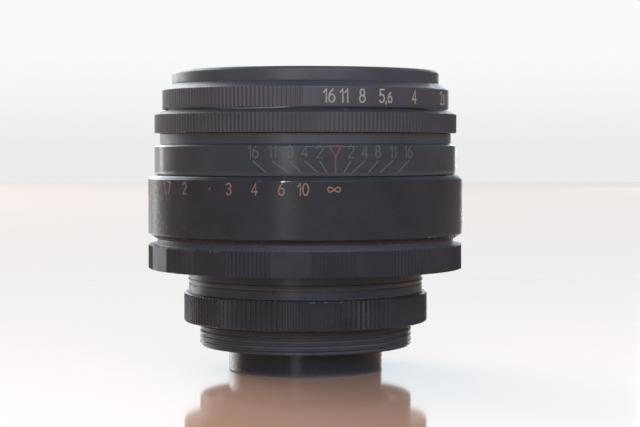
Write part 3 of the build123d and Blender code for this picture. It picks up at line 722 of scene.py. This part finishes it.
def grip_shape(azimuth, radius, height):
    """Knurled lobes with smooth shallow hollows between them."""
    depth, root, hollow_edge, hollow_depth = 0.26, 0.58, 0.02, 0.2
    share, off = lobe_share(azimuth)
    phase = np.mod(azimuth / 360 * GRIP_RIDGES, 1.0)
    teeth = depth * np.interp(phase, (0, KNURL_CREST, root, 1), (0, 0, 1, 0))
    half_hollow = 180 / LOBE_COUNT - LOBE_WIDTH / 2
    across = np.clip((180 / LOBE_COUNT - off) / half_hollow, 0, 1)
    hollow = hollow_edge + (hollow_depth - hollow_edge) * (1 - across**2)
    cut = share * teeth + (1 - share) * hollow
    return np.minimum(radius, GRIP_R - cut)


def grip_ring():
    """Lobed focusing grip with its groove and sleeve."""
    bore, nut_bore, nut_seat, sleeve_r = 24.8, 26.92, 11.98, 28.0
    bevel = 0.15
    piece = ring("focus_grip_ring", "focus_ring", GRIP_BLACK, [
        (bore, GRIP_BOTTOM), (GRIP_R - bevel, GRIP_BOTTOM), (GRIP_R, GRIP_BOTTOM + bevel),
        (GRIP_R, GRIP_TOP - bevel), (GRIP_R - bevel, GRIP_TOP), (GROOVE_R, GRIP_TOP),
        (GROOVE_R, SCALE_BOTTOM), (sleeve_r, SCALE_BOTTOM), (sleeve_r, SLEEVE_TOP),
        (nut_bore, SLEEVE_TOP), (nut_bore, nut_seat), (bore, nut_seat)],
        columns=GRIP_RIDGES * RIDGE_COLUMNS, shape=grip_shape, fillet=0.05)


def distance_ring():
    """Smooth ring of the distance scale."""
    bore, recess_r, recess_bottom = 28.02, 28.85, 27.85
    piece = ring("distance_ring", "focus_ring", ENAMEL, [
        (bore, SCALE_BOTTOM), (GROOVE_R + 0.05, SCALE_BOTTOM), (GRIP_R, SCALE_BOTTOM + 1.1),
        (GRIP_R, SCALE_TOP - 0.7), (GRIP_R - 0.5, SCALE_TOP), (recess_r, SCALE_TOP),
        (recess_r, recess_bottom), (bore, recess_bottom)], columns=384, fillet=0.05)


def distance_azimuth(metres):
    """Where a distance stands on the ring when the lens is at infinity."""
    extension = FOCAL_LENGTH**2 / (1000 * metres - FILM_GAP)
    return INDEX_AZIMUTH - 0.3 - extension * FOCUS_TURN / FOCUS_TRAVEL


def distance_scale():
    """Distances in metres and the infinity sign."""
    height, size, width, narrow, dot_metres = 26.6, 2.1, 0.25, 0.87, 2.5
    strokes = text_strokes(["inf"], INDEX_AZIMUTH - 0.6, height - 0.05, size, GRIP_R)
    for metres in (10, 6, 4, 3, 2, 1.7, 1.5, 1.3, 1.1, 1, 0.9, 0.8, 0.7, 0.65, 0.6, 0.55, 0.5):
        glyphs = list(f"{metres:g}".replace(".", ","))
        strokes += text_strokes(glyphs, distance_azimuth(metres), height, size, GRIP_R, narrow)
    marks("distance_numbers", "focus_ring", ORANGE, strokes, width, GRIP_R)
    dot("distance_dot", "focus_ring", RED, distance_azimuth(dot_metres), height, GRIP_R, size=0.6)


# ---- Depth-of-field scale ----------------------------------------------------------------
def dof_scale():
    """A pair of numbers and slanted lines for each f-number, either side of the index."""
    number_z, size, width = 33.4, 2.15, 0.22
    line_top, line_foot = 31.7, 29.65
    spread = {2: 5.6, 4: 10.8, 8: 15.9, 11: 22.2, 16: 29.2}    # degrees from the index
    foot_per_stop, narrow = 1.53, 0.84
    strokes = []
    for stop, reach in spread.items():
        for side in (-1, 1):
            centre = INDEX_MIDDLE + side * reach
            foot = INDEX_MIDDLE + side * foot_per_stop * stop
            strokes += text_strokes(list(str(stop)), centre, number_z, size, DOF_R, narrow)
            line = ((centre, line_top), ((centre + foot) / 2, (line_top + line_foot) / 2),
                    (foot, line_foot))
            strokes.append([(math.radians(azimuth) * DOF_R, z) for azimuth, z in line])
    marks("depth_scale", "lens_block", DULL_GREEN, strokes, width, DOF_R)


def index_mark():
    """Red triangle with a line down to the edge of the fixed ring."""
    top, tip, foot, half, width = 34.4, 32.5, 29.7, 1.1, 0.29
    x = math.radians(INDEX_MIDDLE) * DOF_R
    triangle = [(x, tip), (x - half, top), (x, top), (x + half, top), (x, tip)]
    line = [(x, tip), (x, (tip + foot) / 2), (x, foot)]
    marks("index_mark", "lens_block", RED, [triangle, line], width, DOF_R)


# ---- Aperture and preset rings -----------------------------------------------------------
def aperture_ring():
    """Knurled aperture ring with the collar of the preset ring."""
    bore, collar_r, ridges, depth, bevel = 26.55, 27.1, 225, 0.17, 0.14
    groove_r, groove_bottom, groove_top = 26.8, 43.9, 44.4
    bevel_r, shoulder = 28.2, 41.25
    piece = ring("aperture_ring", "aperture_ring", RING_BLACK, [
        (bore, APERTURE_BOTTOM), (APERTURE_R - bevel, APERTURE_BOTTOM),
        (APERTURE_R, APERTURE_BOTTOM + bevel), (APERTURE_R, shoulder - 0.72),
        (APERTURE_R - 0.2, shoulder - 0.6), (bevel_r, shoulder), (collar_r, shoulder),
        (collar_r, groove_bottom), (groove_r, groove_bottom), (groove_r, groove_top),
        (collar_r, groove_top), (collar_r, APERTURE_TOP), (bore, APERTURE_TOP)],
        columns=ridges * RIDGE_COLUMNS, shape=knurl(ridges, depth), fillet=0.04)
    dot("aperture_dot", "aperture_ring", RED, azimuth=14.7, height=41.1, surface_r=28.9,
        size=0.75, slope=63, lift=0.03)


def smooth_sector(azimuth):
    """1 where the preset ring carries its numbers and has no knurling."""
    middle, half = 57.0, 58.0
    off = np.abs(np.mod(azimuth - middle + 180, 360) - 180)
    return (off < half).astype(float)


def preset_ring():
    """Preset ring, knurled except where its numbers stand."""
    bore, skirt_bore, washer_top, bevel = 27.2, 28.0, 42.9, 0.12
    lip_r, cone_r, lip_bottom = 26.38, 26.45, 45.45
    groove_r, groove_bottom, groove_top = 27.65, 43.85, 44.75
    ridges, depth = 210, 0.17
    edge = PRESET_TOP - 1.2
    piece = ring("preset_ring", "preset_ring", HEAD_BLACK, [
        (bore, washer_top), (skirt_bore, washer_top), (skirt_bore, PRESET_BOTTOM),
        (PRESET_R - bevel, PRESET_BOTTOM), (PRESET_R, PRESET_BOTTOM + bevel),
        (PRESET_R, edge), (PRESET_R - depth, edge + 0.64 * depth), (cone_r, PRESET_TOP),
        (lip_r, PRESET_TOP), (lip_r, lip_bottom), (bore, lip_bottom), (bore, groove_top),
        (groove_r, groove_top), (groove_r, groove_bottom), (bore, groove_bottom)],
        columns=ridges * RIDGE_COLUMNS, shape=knurl(ridges, depth, smooth_sector), fillet=0.04)


def preset_numbers():
    """F-numbers, spaced by the radius of the stop that each stands for."""
    height, size, width = 43.62, 2.35, 0.3
    azimuths = {"16": 8.8, "11": 14.4, "8": 21.6, "4": 46.0, "2": 105.0}
    narrow, small, tenths_after = 0.82, 0.78 * size, 3.1
    strokes = []
    for number, azimuth in azimuths.items():
        strokes += text_strokes(list(number), azimuth, height, size, PRESET_R, narrow)
    for whole, tenths, azimuth in (("5", "6", 29.8), ("2", "8", 67.0)):
        strokes += text_strokes([whole], azimuth, height, size, PRESET_R, narrow)
        strokes += text_strokes([",", tenths], azimuth + tenths_after,
                                height - (size - small) / 2, small, PRESET_R, narrow)
    marks("preset_numbers", "preset_ring", IVORY, strokes, width, PRESET_R)


def wave_spring():
    """Wavy spring washer under the preset ring, which squeezes it when pressed; this piece keeps
    one wavy shape.
    """
    waves, thick, inner_r, columns = 4, 0.3, 27.2, 240
    low, high = SPRING_BOTTOM, SPRING_TOP
    middle, swing = (low + high) / 2, (high - low - thick) / 2
    rows = np.array([(inner_r, -thick / 2, 0), (SPRING_R, -thick / 2, 0), (SPRING_R, thick / 2, 0),
                     (inner_r, thick / 2, 0)])
    verts, faces, _ = ring_skin(rows, columns)
    azimuth = np.arctan2(verts[:, 0], -verts[:, 1])
    verts[:, 2] += middle + swing * np.sin(waves * azimuth)
    piece = to_object("preset_wave_spring_detail", verts, faces, None, SPRING,
                      ("preset_wave_spring",))
    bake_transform(piece)


# ---- Stage -------------------------------------------------------------------------------
def floor():
    """Large pale table top with a soft gloss."""
    side, back_edge, z = 6.0, 1.8, REAR_BOTTOM * MM
    mesh = bpy.data.meshes.new("floor")
    mesh.from_pydata([(-side, -side, z), (side, -side, z), (side, back_edge, z),
                      (-side, back_edge, z)], [], [(0, 1, 2, 3)])
    table = bpy.data.objects.new("floor", mesh)
    bpy.context.scene.collection.objects.link(table)
    material, tree, main = shader("pale_table", Specular_IOR_Level=0.5)
    shade = remap(tree, noise(tree, 3.0, 3.0), 0.3, 0.7)
    tree.links.new(mix(tree, shade, (0.89, 0.49, 0.335, 1), (0.92, 0.53, 0.37, 1)),
                   main.inputs["Base Color"])
    main.inputs["Roughness"].default_value = 0.08
    mesh.materials.append(material)


def world():
    """Bright all round, brightest behind the lens, and even white where the camera looks."""
    scene = bpy.context.scene
    scene.world = scene.world or bpy.data.worlds.new("studio")
    scene.world.use_nodes = True
    tree = scene.world.node_tree
    tree.nodes.clear()
    direction = node(tree, "ShaderNodeTexCoord").outputs["Generated"]
    parts = node(tree, "ShaderNodeSeparateXYZ", {0: direction})
    behind = remap(tree, parts.outputs["Y"], 0.5, 0.75)
    not_right = remap(tree, parts.outputs["X"], 0.45, 0.22)
    window = remap(tree, math_node(tree, "MULTIPLY", behind, not_right), 0.0, 1.0, 0.30, 1.60)
    height = parts.outputs["Z"]
    above = remap(tree, math_node(tree, "MULTIPLY", height, height), 0.0, 0.025, 0.51, 1.1)
    horizon, high_sky = (0.985, 1.0, 0.995, 1), (0.97, 1.0, 1.02, 1)
    low_sky = (0.87, 1.02, 1.10, 1)
    sky = mix(tree, remap(tree, height, 0.01, 0.08), horizon, low_sky)
    sky = mix(tree, remap(tree, height, 0.3, 0.8), sky, high_sky)
    lit = node(tree, "ShaderNodeBackground", {
        "Color": sky, "Strength": math_node(tree, "MULTIPLY", window, above)})
    seen = node(tree, "ShaderNodeBackground", {
        "Color": (0.99, 1.0, 0.995, 1), "Strength": remap(tree, height, 0.0, 0.055, 0.84, 0.96)})
    ray = node(tree, "ShaderNodeLightPath").outputs["Is Camera Ray"]
    both = node(tree, "ShaderNodeMixShader", {0: ray, 1: lit.outputs[0], 2: seen.outputs[0]})
    out = node(tree, "ShaderNodeOutputWorld")
    tree.links.new(both.outputs[0], out.inputs["Surface"])
    scene.view_settings.view_transform = "Standard"


def soft_lights():
    """Soft boxes that face the lens: name, azimuth, distance, height above zero, width and
    height of the box, power in watts and colour. Lengths are in metres."""
    neutral, cool = (0.99, 1.0, 1.01), (0.82, 0.96, 1.24)
    boxes = (("window", -13.7, 1.2, 0.42, 0.2, 0.8, 1.8, neutral),
             ("fill", 20, 1.5, 0.9, 1.2, 1.0, 9.0, cool),
             ("left_window", -141, 1.5, 0.76, 1.34, 1.4, 19.0, neutral),
             ("left_strip", -140, 1.5, 0.1, 0.08, 0.8, 1.2, neutral),
             ("right_strip", 164, 1.5, 0.3, 0.12, 0.8, 1.0, neutral))
    for name, azimuth, distance, above_zero, wide, high, power, colour in boxes:
        data = bpy.data.lights.new(name, "AREA")
        data.shape, data.size, data.size_y = "RECTANGLE", wide, high
        data.energy, data.color = power, colour
        light = bpy.data.objects.new(name, data)
        turn = math.radians(azimuth)
        light.location = (distance * math.sin(turn), -distance * math.cos(turn), above_zero)
        bpy.context.scene.collection.objects.link(light)
        aim(light, (0, 0, 0.02))


def aim(thing, target):
    """Turns a light or the camera towards a point."""
    away = np.array(target) - np.array(thing.location)
    flat = math.hypot(away[0], away[1])
    thing.rotation_euler = (math.atan2(flat, -away[2]), 0, math.atan2(-away[0], away[1]))


def camera():
    """Camera a third of a metre away, a little below the front rim."""
    data = bpy.data.cameras.new("camera")
    data.sensor_width, data.lens = 36.0, 96.4
    data.clip_start, data.clip_end = 0.01, 50.0
    eye = bpy.data.objects.new("camera", data)
    eye.location = (0, -0.340, 0.0343)
    bpy.context.scene.collection.objects.link(eye)
    aim(eye, (0.00287, 0, 0.02105))
    bpy.context.scene.camera = eye


finish_cad_nodes()
for build in (mount_ring, mount_barrel, rear_cell, block_head, dof_ring, front_rim, name_ring,
              glass, grip_ring, distance_ring, distance_scale, dof_scale, index_mark,
              aperture_ring, preset_ring, preset_numbers, wave_spring, floor, world, camera,
              retaining_rings, soft_lights):
    build()
